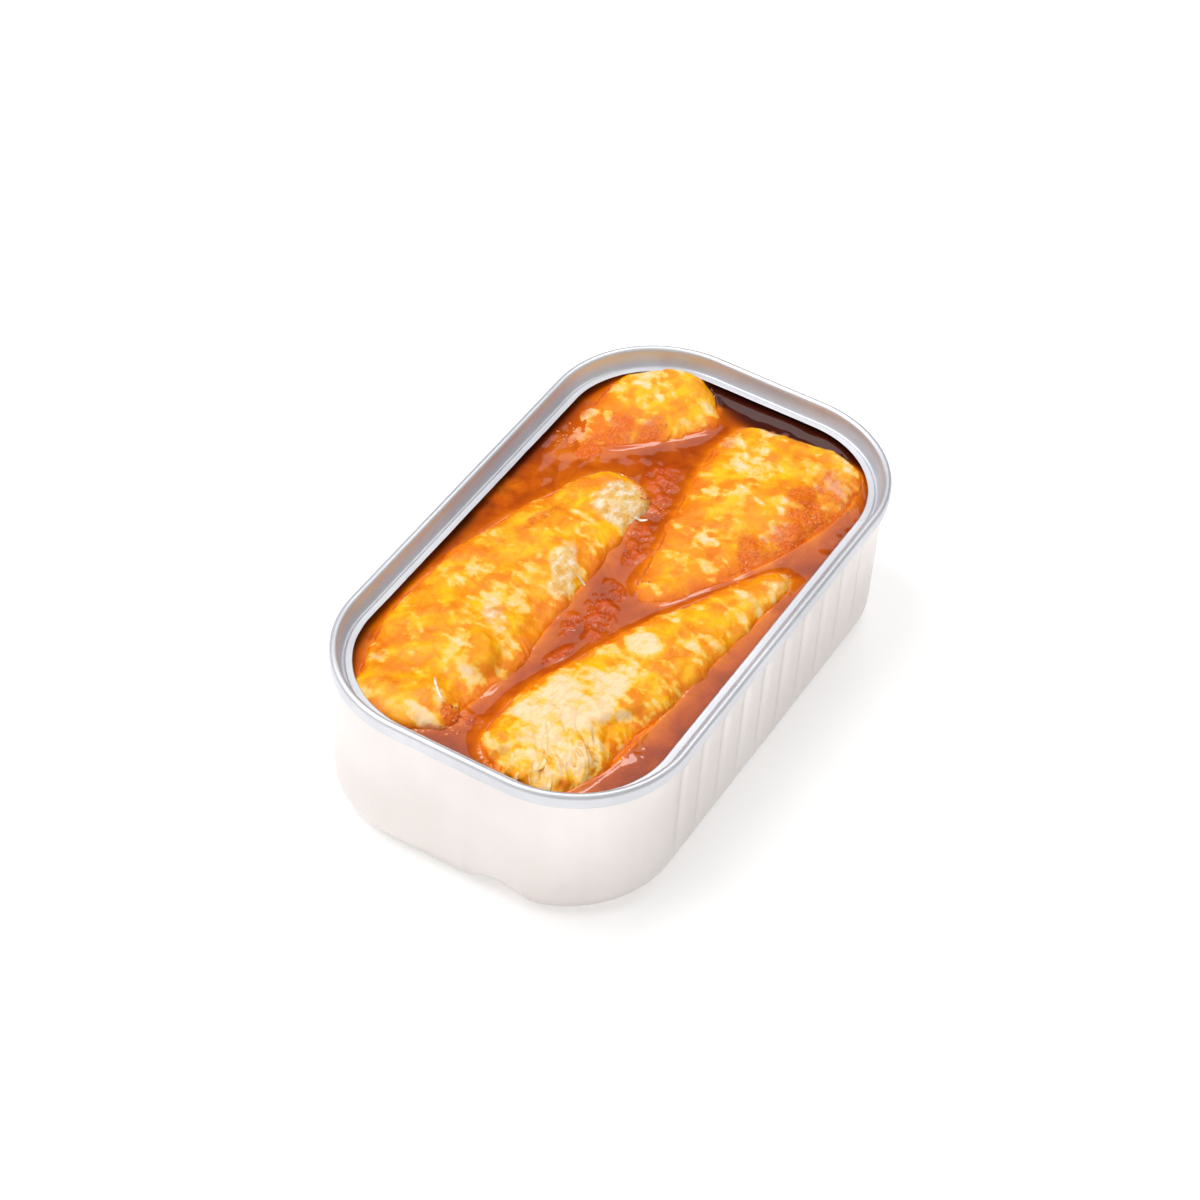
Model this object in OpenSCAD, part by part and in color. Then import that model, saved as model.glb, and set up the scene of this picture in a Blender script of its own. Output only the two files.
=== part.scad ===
// Opened sardine tin: a drawn aluminium can with the seamed ring of its peeled-off lid,
// holding four trimmed sardines in tomato oil.
// X runs along the tin, Y across it and Z up. The origin is under the middle of the base.

/* [Tin] */
// Length over the seam
tin_length = 105; // [88:0.5:126]
// Width over the seam
tin_width = 61.6; // [52:0.1:74]
// Height from the base to the top of the seam
tin_height = 28.4; // [24:0.1:36]
// Corner radius of the seam, seen from above
corner_radius = 20.6; // [17:0.1:25]
// Thickness of the can's aluminium sheet
sheet = 0.25; // [0.2:0.01:0.35]
// Outer radius between the wall and the base
base_radius = 3.6; // [2.5:0.1:4.5]

/* [Seam and peeled lid] */
// How far the seam stands proud of the wall
seam_overhang = 0.95; // [0.7:0.05:1.3]
// Height of the seam's outer face
seam_height = 2.7; // [2.2:0.1:3.3]
// Thickness of the lid's sheet
lid_sheet = 0.22; // [0.18:0.01:0.3]
// Depth of the ledge below the top of the seam
ledge_drop = 3.1; // [2.6:0.1:3.8]
// Width of the panel strip left inside the countersink
ledge_width = 0.8; // [0.6:0.05:1.5]
// Width of the countersink groove
groove_width = 0.85; // [0.7:0.05:1.1]
// Depth of the countersink groove below the ledge
groove_depth = 0.4; // [0.25:0.05:0.6]
// Room between the can's wall and the seam that grips it
seam_gap = 0.03; // [0.02:0.01:0.05]

/* [Flutes] */
// Number of flutes on each long side
flute_count = 10; // [4:1:11]
// Distance between flutes
flute_pitch = 6.7; // [5:0.1:7]
// How deep a flute is pressed in
flute_depth = 0.35; // [0.2:0.05:0.5]
// Radius of the pressing tool
flute_radius = 3; // [2:0.1:4]
// Height at which the flutes start
flute_bottom = 5; // [4:0.5:8]
// Distance of the flutes' top from the top of the seam
flute_top_drop = 6.2; // [5.5:0.1:9]

/* [Base] */
// Width of the ring that the tin stands on, with the base radius
panel_inset = 8; // [6:0.5:10]
// Height of the pressed-up base panel
panel_rise = 0.8; // [0.4:0.1:1.2]

/* [Dent] */
// Radius of the dent in the front bottom edge
dent_radius = 8; // [6:0.5:10]
// Depth of the dent across the edge
dent_depth = 2.1; // [1:0.1:2.4]
// Distance of the dent from the tin's middle line
dent_offset = 9.8; // [6:0.1:10]

/* [Contents] */
// Depth of the sauce's surface below the top of the seam
sauce_drop = 4.3; // [3.7:0.1:5.5]
// Room between two things that fill or lie against each other
fill_gap = 0.05; // [0.03:0.01:0.1]
// Room between a sardine and the edge of the lid's ledge
lid_room = 0.15; // [0.1:0.05:0.3]
// Height of a sardine's crown above its widest line
crown_height = 3.6; // [3:0.1:4.2]
// Depth of a sardine below its widest line
belly_depth = 8.5; // [6:0.1:10]
// Squareness of a sardine's section, where 2 is an ellipse
section_power = 2.3; // [2:0.1:3]

/* [Hidden] */
$fn = 96;

wall_length = tin_length - 2 * seam_overhang;
wall_width = tin_width - 2 * seam_overhang;
wall_radius = corner_radius - seam_overhang;
wall_top = tin_height - 0.9;
sauce_level = tin_height - sauce_drop;
ledge_z = tin_height - ledge_drop;

// Insets from the seam's outer face, in the order that a section of the rim meets them.
slot_outer = seam_overhang - seam_gap;
slot_inner = seam_overhang + sheet + seam_gap;
seam_inner = slot_inner + lid_sheet;
groove_outer = seam_inner + 0.35;
ledge_outer = groove_outer + groove_width;
ledge_inner = ledge_outer + ledge_width;

// Free opening inside the peeled lid, which the sardines fill without touching its edge.
opening_length = tin_length - 2 * ledge_inner;
opening_width = tin_width - 2 * ledge_inner;
opening_radius = corner_radius - ledge_inner;

// The sardines were laid out in an opening of this size, and are packed to the true one.
layout_length = 98;
layout_width = 54.6;

// What the columns below hold. Head and tail are points on the sardine's middle line, and bend is how
// far the line bows to the left of head-to-tail. The three widths are halves, belly_at is the share of
// the length where the belly is widest, taper is the power of the narrowing behind it, thin is the
// tail's thickness as a share, and round_share is the share of the length that rounds off the cut.
// The crown lies head_drop and tail_drop below the top of the seam.
HEAD = 0;
TAIL = 1;
BEND = 2;
CUT = 3;
BELLY = 4;
TAIL_WIDTH = 5;
BELLY_AT = 6;
TAPER = 7;
THIN = 8;
ROUND_SHARE = 9;
HEAD_DROP = 10;
TAIL_DROP = 11;
BACK_LEFT =   [[49.4, 10.9], [9, 22.2],      -2.4, 8.2, 10.7, 1.6, 0.19, 1.15, 0.35, 0.11, 2.0, 5.4];
BACK_RIGHT =  [[45.4, -10.9], [-3.2, -5.8],  2.0, 11.8, 13.6, 2.6, 0.2, 1.5, 0.4, 0.07, 1.7, 3.6];
FRONT_LEFT =  [[-48.6, 12.8], [20.8, 8.8],   3.2, 8.8, 12.1, 5, 0.33, 1.8, 0.6, 0.09, 1.9, 2.6];
FRONT_RIGHT = [[-48.4, -8.7], [15.2, -23.6], 1.6, 8.8, 10.7, 2.4, 0.2, 1.35, 0.55, 0.07, 1.7, 2.9];

RINGS = 16;   // rings along a sardine
SPOKES = 20;  // points round each ring
TIP = 0.34;   // size of the end rings, as a share of the ring that they round off
LUMP = 0.03;  // how uneven a sardine's flank is

// ---------- the tin ----------

// A filled block with round vertical corners and a rounded bottom edge, whose section is revolved
// at the corners and drawn straight along the sides.
module tray(length, width, radius, height, edge) {
    dx = length / 2 - radius;
    dy = width / 2 - radius;
    module section() {
        square([radius - edge, height]);
        translate([0, edge]) square([radius, height - edge]);
        translate([radius - edge, edge]) circle(edge);
    }
    module side(run) rotate([90, 0, 0]) linear_extrude(run, center = true) section();
    for (turn = [0 : 3]) {
        x = (turn == 0 || turn == 3) ? dx : -dx;
        y = turn < 2 ? dy : -dy;
        translate([x, y, 0]) rotate(90 * turn) rotate_extrude(angle = 90) section();
    }
    translate([dx, 0, 0]) side(2 * dy);
    translate([-dx, 0, 0]) rotate(180) side(2 * dy);
    translate([0, dy, 0]) rotate(90) side(2 * dx);
    translate([0, -dy, 0]) rotate(-90) side(2 * dx);
    translate([-dx, -dy, 0]) cube([2 * dx, 2 * dy, height]);
}

module rounded_block(length, width, radius, height) {
    dx = length / 2 - radius;
    dy = width / 2 - radius;
    translate([-length / 2, -dy, 0]) cube([length, 2 * dy, height]);
    translate([-dx, -width / 2, 0]) cube([2 * dx, width, height]);
    for (x = [-dx, dx], y = [-dy, dy]) translate([x, y, 0]) cylinder(r = radius, h = height);
}

// One pressing tool: a rod with round ends, standing just outside the wall.
module flute_tool(radius, x, side) {
    top = tin_height - flute_top_drop;
    y = side * (wall_width / 2 + flute_radius - flute_depth);
    translate([x, y, flute_bottom]) cylinder(r = radius, h = top - flute_bottom);
    for (z = [flute_bottom, top]) translate([x, y, z]) sphere(radius);
}

module flute_tools(radius) {
    for (side = [-1, 1], i = [0 : flute_count - 1])
        flute_tool(radius, (i - (flute_count - 1) / 2) * flute_pitch, side);
}

// The ball whose imprint is the dent. Its middle lies on the diagonal through the bottom edge.
module dent_tool(radius) {
    edge_in = base_radius * (1 - sqrt(0.5));
    out = (dent_radius - dent_depth) * sqrt(0.5);
    translate([-wall_length / 2 + edge_in - out, -dent_offset, edge_in - out]) sphere(radius);
}

// The can's form, taken in from its outer skin by inset.
module can_form(inset, height) {
    difference() {
        translate([0, 0, inset])
            tray(wall_length - 2 * inset, wall_width - 2 * inset, wall_radius - inset,
                 height - inset, base_radius - inset);
        translate([0, 0, -1])
            rounded_block(wall_length - 2 * (panel_inset - inset), wall_width - 2 * (panel_inset - inset),
                          wall_radius - panel_inset + inset, panel_rise + 1 + inset);
        flute_tools(flute_radius + inset);
        dent_tool(dent_radius + inset);
    }
}

module tin_body() {
    color("gainsboro") difference() {
        can_form(0, wall_top);
        can_form(sheet, wall_top + 1);
    }
}

// ---------- the lid's ring ----------

function arc(middle, radius, from, to, steps) =
    [for (i = [0 : steps]) let (a = from + (to - from) * i / steps)
        middle + radius * [cos(a), sin(a)]];

// The ring's section as [distance from the corner's middle, height]. It runs up the seam's outer face,
// over the top, down the chuck wall, through the countersink, along the ledge and back underneath.
function ring_section() =
    let (
        round_top = seam_inner / 2,
        round_foot = slot_outer / 2,
        foot_z = tin_height - seam_height,
        slot_z = wall_top + seam_gap,
        groove_z = ledge_z - groove_depth,
        mid = (groove_outer + ledge_outer) / 2,
        half = groove_width / 2,
        inset = concat(
            arc([round_top, tin_height - round_top], round_top, 180, 0, 12),
            [[groove_outer, ledge_z]],
            [for (a = [30 : 30 : 150]) [mid - half * cos(a), ledge_z - groove_depth * sin(a)]],
            [[ledge_outer, ledge_z], [ledge_inner, ledge_z], [ledge_inner, ledge_z - lid_sheet],
             [ledge_outer + lid_sheet, ledge_z - lid_sheet]],
            [for (a = [150 : -30 : 30])
                [mid - (half + lid_sheet) * cos(a), ledge_z - (groove_depth + lid_sheet) * sin(a)]],
            [[groove_outer - lid_sheet, ledge_z - lid_sheet], [slot_inner, ledge_z + 1], [slot_inner, slot_z],
             [slot_outer, slot_z]],
            arc([round_foot, foot_z + round_foot], round_foot, 0, -180, 8)))
    [for (p = inset) [corner_radius - p[0], p[1]]];

module lid_ring() {
    dx = tin_length / 2 - corner_radius;
    dy = tin_width / 2 - corner_radius;
    module section() polygon(ring_section());
    module side(run) rotate([90, 0, 0]) linear_extrude(run, center = true) section();
    color("silver") {
        for (turn = [0 : 3]) {
            x = (turn == 0 || turn == 3) ? dx : -dx;
            y = turn < 2 ? dy : -dy;
            translate([x, y, 0]) rotate(90 * turn) rotate_extrude(angle = 90) section();
        }
        translate([dx, 0, 0]) side(2 * dy);
        translate([-dx, 0, 0]) rotate(180) side(2 * dy);
        translate([0, dy, 0]) rotate(90) side(2 * dx);
        translate([0, -dy, 0]) rotate(-90) side(2 * dx);
    }
}

// ---------- the sardines ----------

function ease(t) = t * t * (3 - 2 * t);
function between(a, b, t) = a + (b - a) * ease(min(1, max(0, t)));

// How full the fish is at share t of its length: round at the cut end, and rounder still at the tail.
function fullness(fish, t) =
    let (cut = min(1, t / fish[ROUND_SHARE]), tail = min(1, (1 - t) / 0.06))
    (TIP + (1 - TIP) * sqrt(1 - pow(1 - cut, 2))) * (TIP + (1 - TIP) * sqrt(1 - pow(1 - tail, 2)));

// Half the fish's width at share t: the belly swells after the cut, then the body tapers to the tail.
function half_width(fish, t) =
    let (at = fish[BELLY_AT])
    t < at ? between(fish[CUT], fish[BELLY], t / at)
           : fish[BELLY] + (fish[TAIL_WIDTH] - fish[BELLY]) * pow((t - at) / (1 - at), fish[TAPER]);

// Height or depth at share t, which thins toward the tail less than the width does.
function thickness_share(fish, t) = 1 - (1 - fish[THIN]) * ease(t);

function middle_point(fish, t) =
    let (run = fish[TAIL] - fish[HEAD], left = [-run[1], run[0]] / norm(run))
    fish[HEAD] + run * t + left * fish[BEND] * 4 * t * (1 - t);

// Rings sit closer together at the ends, where the fish rounds off.
function ring_share(i) = (1 - cos(180 * i / (RINGS - 1))) / 2;

function signed_power(value, power) = sign(value) * pow(abs(value), power);

function ring_points(fish, t, grow) =
    let (
        full = fullness(fish, t),
        ahead = middle_point(fish, min(1, t + 0.01)) - middle_point(fish, max(0, t - 0.01)),
        along = ahead / norm(ahead),
        left = [-along[1], along[0]],
        middle = middle_point(fish, t) + along * (2 * t - 1) * grow,
        crown = tin_height - between(fish[HEAD_DROP], fish[TAIL_DROP], t),
        up = crown_height * thickness_share(fish, t),
        down = belly_depth * thickness_share(fish, t),
        stretch = [opening_length / layout_length, opening_width / layout_width])
    [for (k = [0 : SPOKES - 1])
        let (
            a = 360 * k / SPOKES,
            lump = 1 + LUMP * sin(3 * a + 540 * t) * sin(180 * t),
            out = (half_width(fish, t) * full * lump + grow) * signed_power(cos(a), 2 / section_power),
            high = ((a <= 180 ? up : down) * full + grow) * signed_power(sin(a), 2 / section_power),
            flat = middle + left * out)
        [flat[0] * stretch[0], flat[1] * stretch[1], crown - up + high]];

module sardine_form(fish, grow) {
    points = [for (i = [0 : RINGS - 1]) each ring_points(fish, ring_share(i), grow)];
    sides = [for (i = [0 : RINGS - 2], k = [0 : SPOKES - 1])
        let (a = i * SPOKES + k, b = i * SPOKES + (k + 1) % SPOKES)
        each [[a, b + SPOKES, b], [a, a + SPOKES, b + SPOKES]]];
    first = [for (k = [0 : SPOKES - 1]) k];
    last = [for (k = [SPOKES - 1 : -1 : 0]) (RINGS - 1) * SPOKES + k];
    polyhedron(points, concat(sides, [first, last]));
}

// A sardine keeps inside the opening that it was packed through, and lies against its corner.
module sardine(fish, grow = 0) {
    inset = lid_room - grow;
    intersection() {
        sardine_form(fish, grow);
        rounded_block(opening_length - 2 * inset, opening_width - 2 * inset,
                      opening_radius - inset, tin_height);
    }
}

module sardine_back_left() color("orange") sardine(BACK_LEFT);
module sardine_back_right() color("orange") sardine(BACK_RIGHT);
module sardine_front_left() color("goldenrod") sardine(FRONT_LEFT);
module sardine_front_right() color("goldenrod") sardine(FRONT_RIGHT);

// ---------- the sauce ----------

// It fills the can up to its level, cut round the sardines.
module sauce() {
    color("orangered") difference() {
        can_form(sheet + fill_gap, sauce_level);
        for (fish = [BACK_LEFT, BACK_RIGHT, FRONT_LEFT, FRONT_RIGHT]) sardine(fish, fill_gap);
    }
}

tin_body();
lid_ring();
sauce();
sardine_back_left();
sardine_back_right();
sardine_front_left();
sardine_front_right();
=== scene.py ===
"""Looks of an opened sardine tin: satin aluminium, wet golden sardines and tomato oil.

Lengths are millimetres in the CAD frame, and MM turns them into metres. Lamps and textures are in metres.
"""
import math

import bmesh
import bpy
import numpy as np
from mathutils import Matrix, Vector


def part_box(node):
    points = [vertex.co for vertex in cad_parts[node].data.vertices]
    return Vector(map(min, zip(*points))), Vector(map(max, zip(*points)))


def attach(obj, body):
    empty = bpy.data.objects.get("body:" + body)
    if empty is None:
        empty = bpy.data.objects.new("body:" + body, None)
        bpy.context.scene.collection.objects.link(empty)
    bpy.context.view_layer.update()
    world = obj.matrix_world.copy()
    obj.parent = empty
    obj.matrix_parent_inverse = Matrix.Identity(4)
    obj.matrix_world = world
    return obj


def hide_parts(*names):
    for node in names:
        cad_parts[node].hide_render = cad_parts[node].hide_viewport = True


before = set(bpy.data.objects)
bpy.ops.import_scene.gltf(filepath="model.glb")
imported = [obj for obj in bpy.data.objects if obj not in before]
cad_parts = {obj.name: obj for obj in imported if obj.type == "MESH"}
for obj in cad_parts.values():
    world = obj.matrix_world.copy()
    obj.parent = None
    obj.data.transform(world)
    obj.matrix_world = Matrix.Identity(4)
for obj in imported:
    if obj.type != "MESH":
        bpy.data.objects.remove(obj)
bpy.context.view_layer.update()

# ---------------------------------------------------------------- sizes, in millimetres
MM = 0.001
low, high = (np.array(v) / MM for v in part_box("lid_ring"))
LENGTH, WIDTH, HEIGHT = high[0] - low[0], high[1] - low[1], high[2]
SEAM_RADIUS = 20.6       # corner radius of the seam
OVERHANG = 0.95          # seam proud of the wall
SHEET = 0.25             # thickness of the tin's sheet
BASE_RADIUS = 3.6        # radius of the bottom edge
PANEL_LIFT = 0.8         # height of the panel pressed into the base
LEDGE_Z = HEIGHT - 3.1   # top of the ledge
LEDGE_INNER = 3.47       # inset of the ledge's edge face, which the CAD has at 3.45
LEDGE_LIP = 3.78         # inset of the thin torn lip above that face, which the CAD doesn't have
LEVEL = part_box("sauce")[1][2] / MM
DX, DY = LENGTH / 2 - SEAM_RADIUS, WIDTH / 2 - SEAM_RADIUS  # centres of the corners
FLUTES, FLUTE_PITCH = 10, 6.7
DENT_RADIUS, DENT_DEPTH, DENT_Y = 8.0, 2.1, -9.8
FISH_UP, FISH_DOWN = 3.6, 6.5  # a sardine's section above and below its widest line, where it is thickest
FISH_POWER = 2.3         # how square that section is
ROOM = 0.12              # least room between the food and the ledge's edge face
FAR = 9.0                # stands for anything too far away to matter
rng = np.random.default_rng(7)


# ---------------------------------------------------------------- noise
def hashed(ix, iy, iz, seed):
    h = (ix * 374761393 + iy * 668265263 + iz * 2147483647 + seed * 974711) & 0xFFFFFFFF
    h = ((h ^ (h >> 13)) * 1274126177) & 0xFFFFFFFF
    h = h ^ (h >> 16)
    return (h & 0xFFFFFF) / float(0x1000000)


def noise(p, size, seed=0):
    """Smooth noise from -1 to 1 at points p, with bumps of that size (one number or three)."""
    q = p / np.asarray(size, float)
    i = np.floor(q).astype(np.int64)
    f = q - i
    f = f * f * f * (f * (f * 6 - 15) + 10)
    total = np.zeros(len(p))
    for dx in (0, 1):
        for dy in (0, 1):
            for dz in (0, 1):
                w = (f[:, 0] if dx else 1 - f[:, 0]) * (f[:, 1] if dy else 1 - f[:, 1])
                w = w * (f[:, 2] if dz else 1 - f[:, 2])
                total += w * hashed(i[:, 0] + dx, i[:, 1] + dy, i[:, 2] + dz, seed)
    return total * 2 - 1


def fbm(p, size, octaves=4, seed=0, gain=0.5):
    total, amp, norm = 0, 1.0, 0.0
    size = np.asarray(size, float)
    for o in range(octaves):
        total = total + amp * noise(p + 17.3 * o, size / 2**o, seed + o)
        norm += amp
        amp *= gain
    return total / norm


def cells(p, size, seed=0):
    """Distances to the nearest and second nearest of scattered points, and the nearest one's number."""
    q = p / np.asarray(size, float)
    i = np.floor(q).astype(np.int64)
    f1 = np.full(len(p), FAR)
    f2 = np.full(len(p), FAR)
    who = np.zeros(len(p))
    for dx in (-1, 0, 1):
        for dy in (-1, 0, 1):
            for dz in (-1, 0, 1):
                jx, jy, jz = i[:, 0] + dx, i[:, 1] + dy, i[:, 2] + dz
                c = np.stack([jx + hashed(jx, jy, jz, seed), jy + hashed(jx, jy, jz, seed + 1),
                              jz + hashed(jx, jy, jz, seed + 2)], 1)
                d = np.linalg.norm(q - c, axis=1)
                nearer = d < f1
                f2 = np.where(nearer, f1, np.minimum(f2, d))
                who = np.where(nearer, hashed(jx, jy, jz, seed + 3), who)
                f1 = np.where(nearer, d, f1)
    return f1, f2, who


def smooth(a, b, x):
    t = np.clip((x - a) / (b - a), 0, 1)
    return t * t * (3 - 2 * t)


def spot(p, x, y, rx, ry, turn=0.0, soft=0.35):
    """1 inside an ellipse seen from above, falling to 0 outside it."""
    c, s = math.cos(math.radians(turn)), math.sin(math.radians(turn))
    u = ((p[:, 0] - x) * c + (p[:, 1] - y) * s) / rx
    v = (-(p[:, 0] - x) * s + (p[:, 1] - y) * c) / ry
    return 1 - smooth(1 - soft, 1 + soft, np.hypot(u, v))


# ---------------------------------------------------------------- meshes
def make_mesh(name, points, faces, body="root"):
    """A mesh from millimetre points and an array of quads or triangles, or a list of both kinds."""
    groups = faces if isinstance(faces, list) else [faces]
    me = bpy.data.meshes.new(name)
    me.vertices.add(len(points))
    me.vertices.foreach_set("co", (np.asarray(points) * MM).astype(np.float32).ravel())
    corners = np.concatenate([g.ravel() for g in groups]).astype(np.int32)
    sizes = np.concatenate([np.full(len(g), g.shape[1]) for g in groups]).astype(np.int32)
    starts = np.concatenate([[0], np.cumsum(sizes)[:-1]]).astype(np.int32)
    me.loops.add(len(corners))
    me.loops.foreach_set("vertex_index", corners)
    me.polygons.add(len(sizes))
    me.polygons.foreach_set("loop_start", starts)
    me.polygons.foreach_set("loop_total", sizes)
    me.polygons.foreach_set("use_smooth", np.ones(len(sizes), bool))
    me.update(calc_edges=True)
    me.validate()
    ob = bpy.data.objects.new(name, me)
    bpy.context.scene.collection.objects.link(ob)
    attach(ob, body)
    return ob


def grid_faces(nu, nv, wrap_u=False, wrap_v=False):
    """Quads of a grid of nu by nv points, closed on itself where it wraps."""
    u = np.arange(nu if wrap_u else nu - 1)
    v = np.arange(nv if wrap_v else nv - 1)
    a, b = np.meshgrid(u, v, indexing="ij")
    a, b = a.ravel(), b.ravel()
    a2, b2 = (a + 1) % nu, (b + 1) % nv
    return np.stack([a * nv + b, a2 * nv + b, a2 * nv + b2, a * nv + b2], 1)


def fan(ring, tip, flip=False):
    """Triangles from a closed ring of points to one point."""
    nxt = np.roll(ring, -1)
    tri = np.stack([ring, nxt, np.full(len(ring), tip)], 1)
    return tri[:, ::-1] if flip else tri


def outward(ob):
    """Turns every face of a closed mesh to look outward."""
    bm = bmesh.new()
    bm.from_mesh(ob.data)
    bmesh.ops.recalc_face_normals(bm, faces=bm.faces)
    bm.to_mesh(ob.data)
    bm.free()


def put(ob, name, values, kind="FLOAT"):
    """Stores a value at each point, for the materials."""
    a = ob.data.attributes.new(name, kind, "POINT")
    values = np.asarray(values, np.float32)
    key = {"FLOAT": "value", "FLOAT_VECTOR": "vector", "FLOAT_COLOR": "color"}[kind]
    a.data.foreach_set(key, values.ravel())


# ---------------------------------------------------------------- materials
def srgb(r, g, b):
    c = np.array([r, g, b], float) / 255
    lin = np.where(c <= 0.04045, c / 12.92, ((c + 0.055) / 1.055) ** 2.4)
    return (float(lin[0]), float(lin[1]), float(lin[2]), 1.0)


class Paint:
    """A material's node tree, with short calls for the nodes used here."""

    def __init__(self, name):
        self.mat = bpy.data.materials.new(name)
        self.mat.use_nodes = True
        self.tree = self.mat.node_tree
        self.shader = self.tree.nodes["Principled BSDF"]
        self.where = self.node("ShaderNodeTexCoord").outputs["Object"]

    def node(self, kind, **settings):
        n = self.tree.nodes.new(kind)
        for k, v in settings.items():
            setattr(n, k, v)
        return n

    def link(self, a, b):
        if hasattr(a, "is_output") or isinstance(a, bpy.types.NodeSocket):
            self.tree.links.new(a, b)
        else:
            b.default_value = a

    def noise(self, scale, detail=4.0, rough=0.55, vector=None, stretch=None, distortion=0.0):
        v = vector or self.where
        if stretch:
            m = self.node("ShaderNodeMapping")
            m.inputs["Scale"].default_value = stretch
            self.link(v, m.inputs["Vector"])
            v = m.outputs[0]
        n = self.node("ShaderNodeTexNoise")
        self.link(v, n.inputs["Vector"])
        n.inputs["Scale"].default_value = scale
        n.inputs["Detail"].default_value = detail
        n.inputs["Roughness"].default_value = rough
        n.inputs["Distortion"].default_value = distortion
        return n.outputs["Fac"]

    def attr(self, name, out="Fac"):
        return self.node("ShaderNodeAttribute", attribute_name=name).outputs[out]

    def ramp(self, fac, stops):
        n = self.node("ShaderNodeValToRGB")
        self.link(fac, n.inputs["Fac"])
        el = n.color_ramp.elements
        while len(el) < len(stops):
            el.new(0.5)
        for e, (pos, col) in zip(el, stops):
            e.position = pos
            e.color = col
        return n.outputs["Color"]

    def range(self, fac, a, b, c=0.0, d=1.0):
        n = self.node("ShaderNodeMapRange", interpolation_type="SMOOTHSTEP")
        self.link(fac, n.inputs["Value"])
        for i, v in zip((1, 2, 3, 4), (a, b, c, d)):
            n.inputs[i].default_value = v
        return n.outputs[0]

    def mix(self, fac, a, b):
        n = self.node("ShaderNodeMix", data_type="RGBA")
        self.link(fac, n.inputs[0])
        self.link(a, n.inputs[6])
        self.link(b, n.inputs[7])
        return n.outputs[2]

    def math(self, op, a, b=0.0, c=0.0):
        n = self.node("ShaderNodeMath", operation=op)
        for i, v in enumerate((a, b, c)):
            self.link(v, n.inputs[i])
        return n.outputs[0]

    def bump(self, height, strength, distance, normal=None):
        n = self.node("ShaderNodeBump")
        self.link(height, n.inputs["Height"])
        n.inputs["Strength"].default_value = strength
        n.inputs["Distance"].default_value = distance
        if normal:
            self.link(normal, n.inputs["Normal"])
        return n.outputs[0]

    def set(self, **values):
        for k, v in values.items():
            self.link(v, self.shader.inputs[k.replace("_", " ")])
        return self.mat


def aluminium(name, light, dark, rough, grain, metal=1.0):
    """Satin sheet metal with faint clouds and fine drawn lines round it."""
    m = Paint(name)
    cloud = m.noise(38.0, 4.0, 0.5)
    drawn = m.noise(420.0, 3.0, 0.5, stretch=(1.0, 1.0, 0.08))
    colour = m.mix(m.range(cloud, 0.35, 0.7), light, dark)
    colour = m.mix(m.range(drawn, 0.4, 0.7, 0.0, 0.3), colour, dark)
    r = m.range(m.noise(120.0, 3.0), 0.3, 0.7, rough - 0.03, rough + 0.05)
    n = m.bump(m.noise(1200.0, 3.0, 0.6), grain, 0.00004)
    m.shader.inputs["Specular IOR Level"].default_value = 0.2
    return m.set(Base_Color=colour, Metallic=metal, Roughness=r, Normal=n)


tin_paint = aluminium("tin_aluminium", srgb(224, 219, 217), srgb(218, 212, 209), 0.36, 0.3)
ring_paint = aluminium("ring_aluminium", srgb(222, 223, 228), srgb(208, 210, 216), 0.42, 0.35, 0.62)


# ---------------------------------------------------------------- the tin
def outline(long_steps, corner_steps, short_steps):
    """Centres of curvature and outward directions round the rounded rectangle, anticlockwise."""
    c, n = [], []

    def straight(a, b, direction, steps):
        for i in range(steps):
            t = i / steps
            c.append([a[0] + (b[0] - a[0]) * t, a[1] + (b[1] - a[1]) * t])
            n.append(direction)

    def corner(x, y, start):
        for i in range(corner_steps):
            a = math.radians(start + 90 * i / corner_steps)
            c.append([x, y])
            n.append([math.cos(a), math.sin(a)])

    straight((DX, -DY), (DX, DY), [1, 0], short_steps)
    corner(DX, DY, 0)
    straight((DX, DY), (-DX, DY), [0, 1], long_steps)
    corner(-DX, DY, 90)
    straight((-DX, DY), (-DX, -DY), [-1, 0], short_steps)
    corner(-DX, -DY, 180)
    straight((-DX, -DY), (DX, -DY), [0, -1], long_steps)
    corner(DX, -DY, 270)
    return np.array(c), np.array(n, float)


def swept(c, n, inset, z):
    """Points (path, profile, 3) for a profile given as insets from the seam's outer face and heights."""
    inset, z = np.asarray(inset, float), np.asarray(z, float)
    r = SEAM_RADIUS - inset
    xy = c[:, None, :] + r[None, :, None] * n[:, None, :]
    return np.concatenate([xy, np.broadcast_to(z, xy.shape[:2])[:, :, None]], 2)


def arc(cx, cy, r, a0, a1, steps):
    a = np.radians(np.linspace(a0, a1, steps))
    return [(cx + r * math.cos(t), cy + r * math.sin(t)) for t in a]


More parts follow.
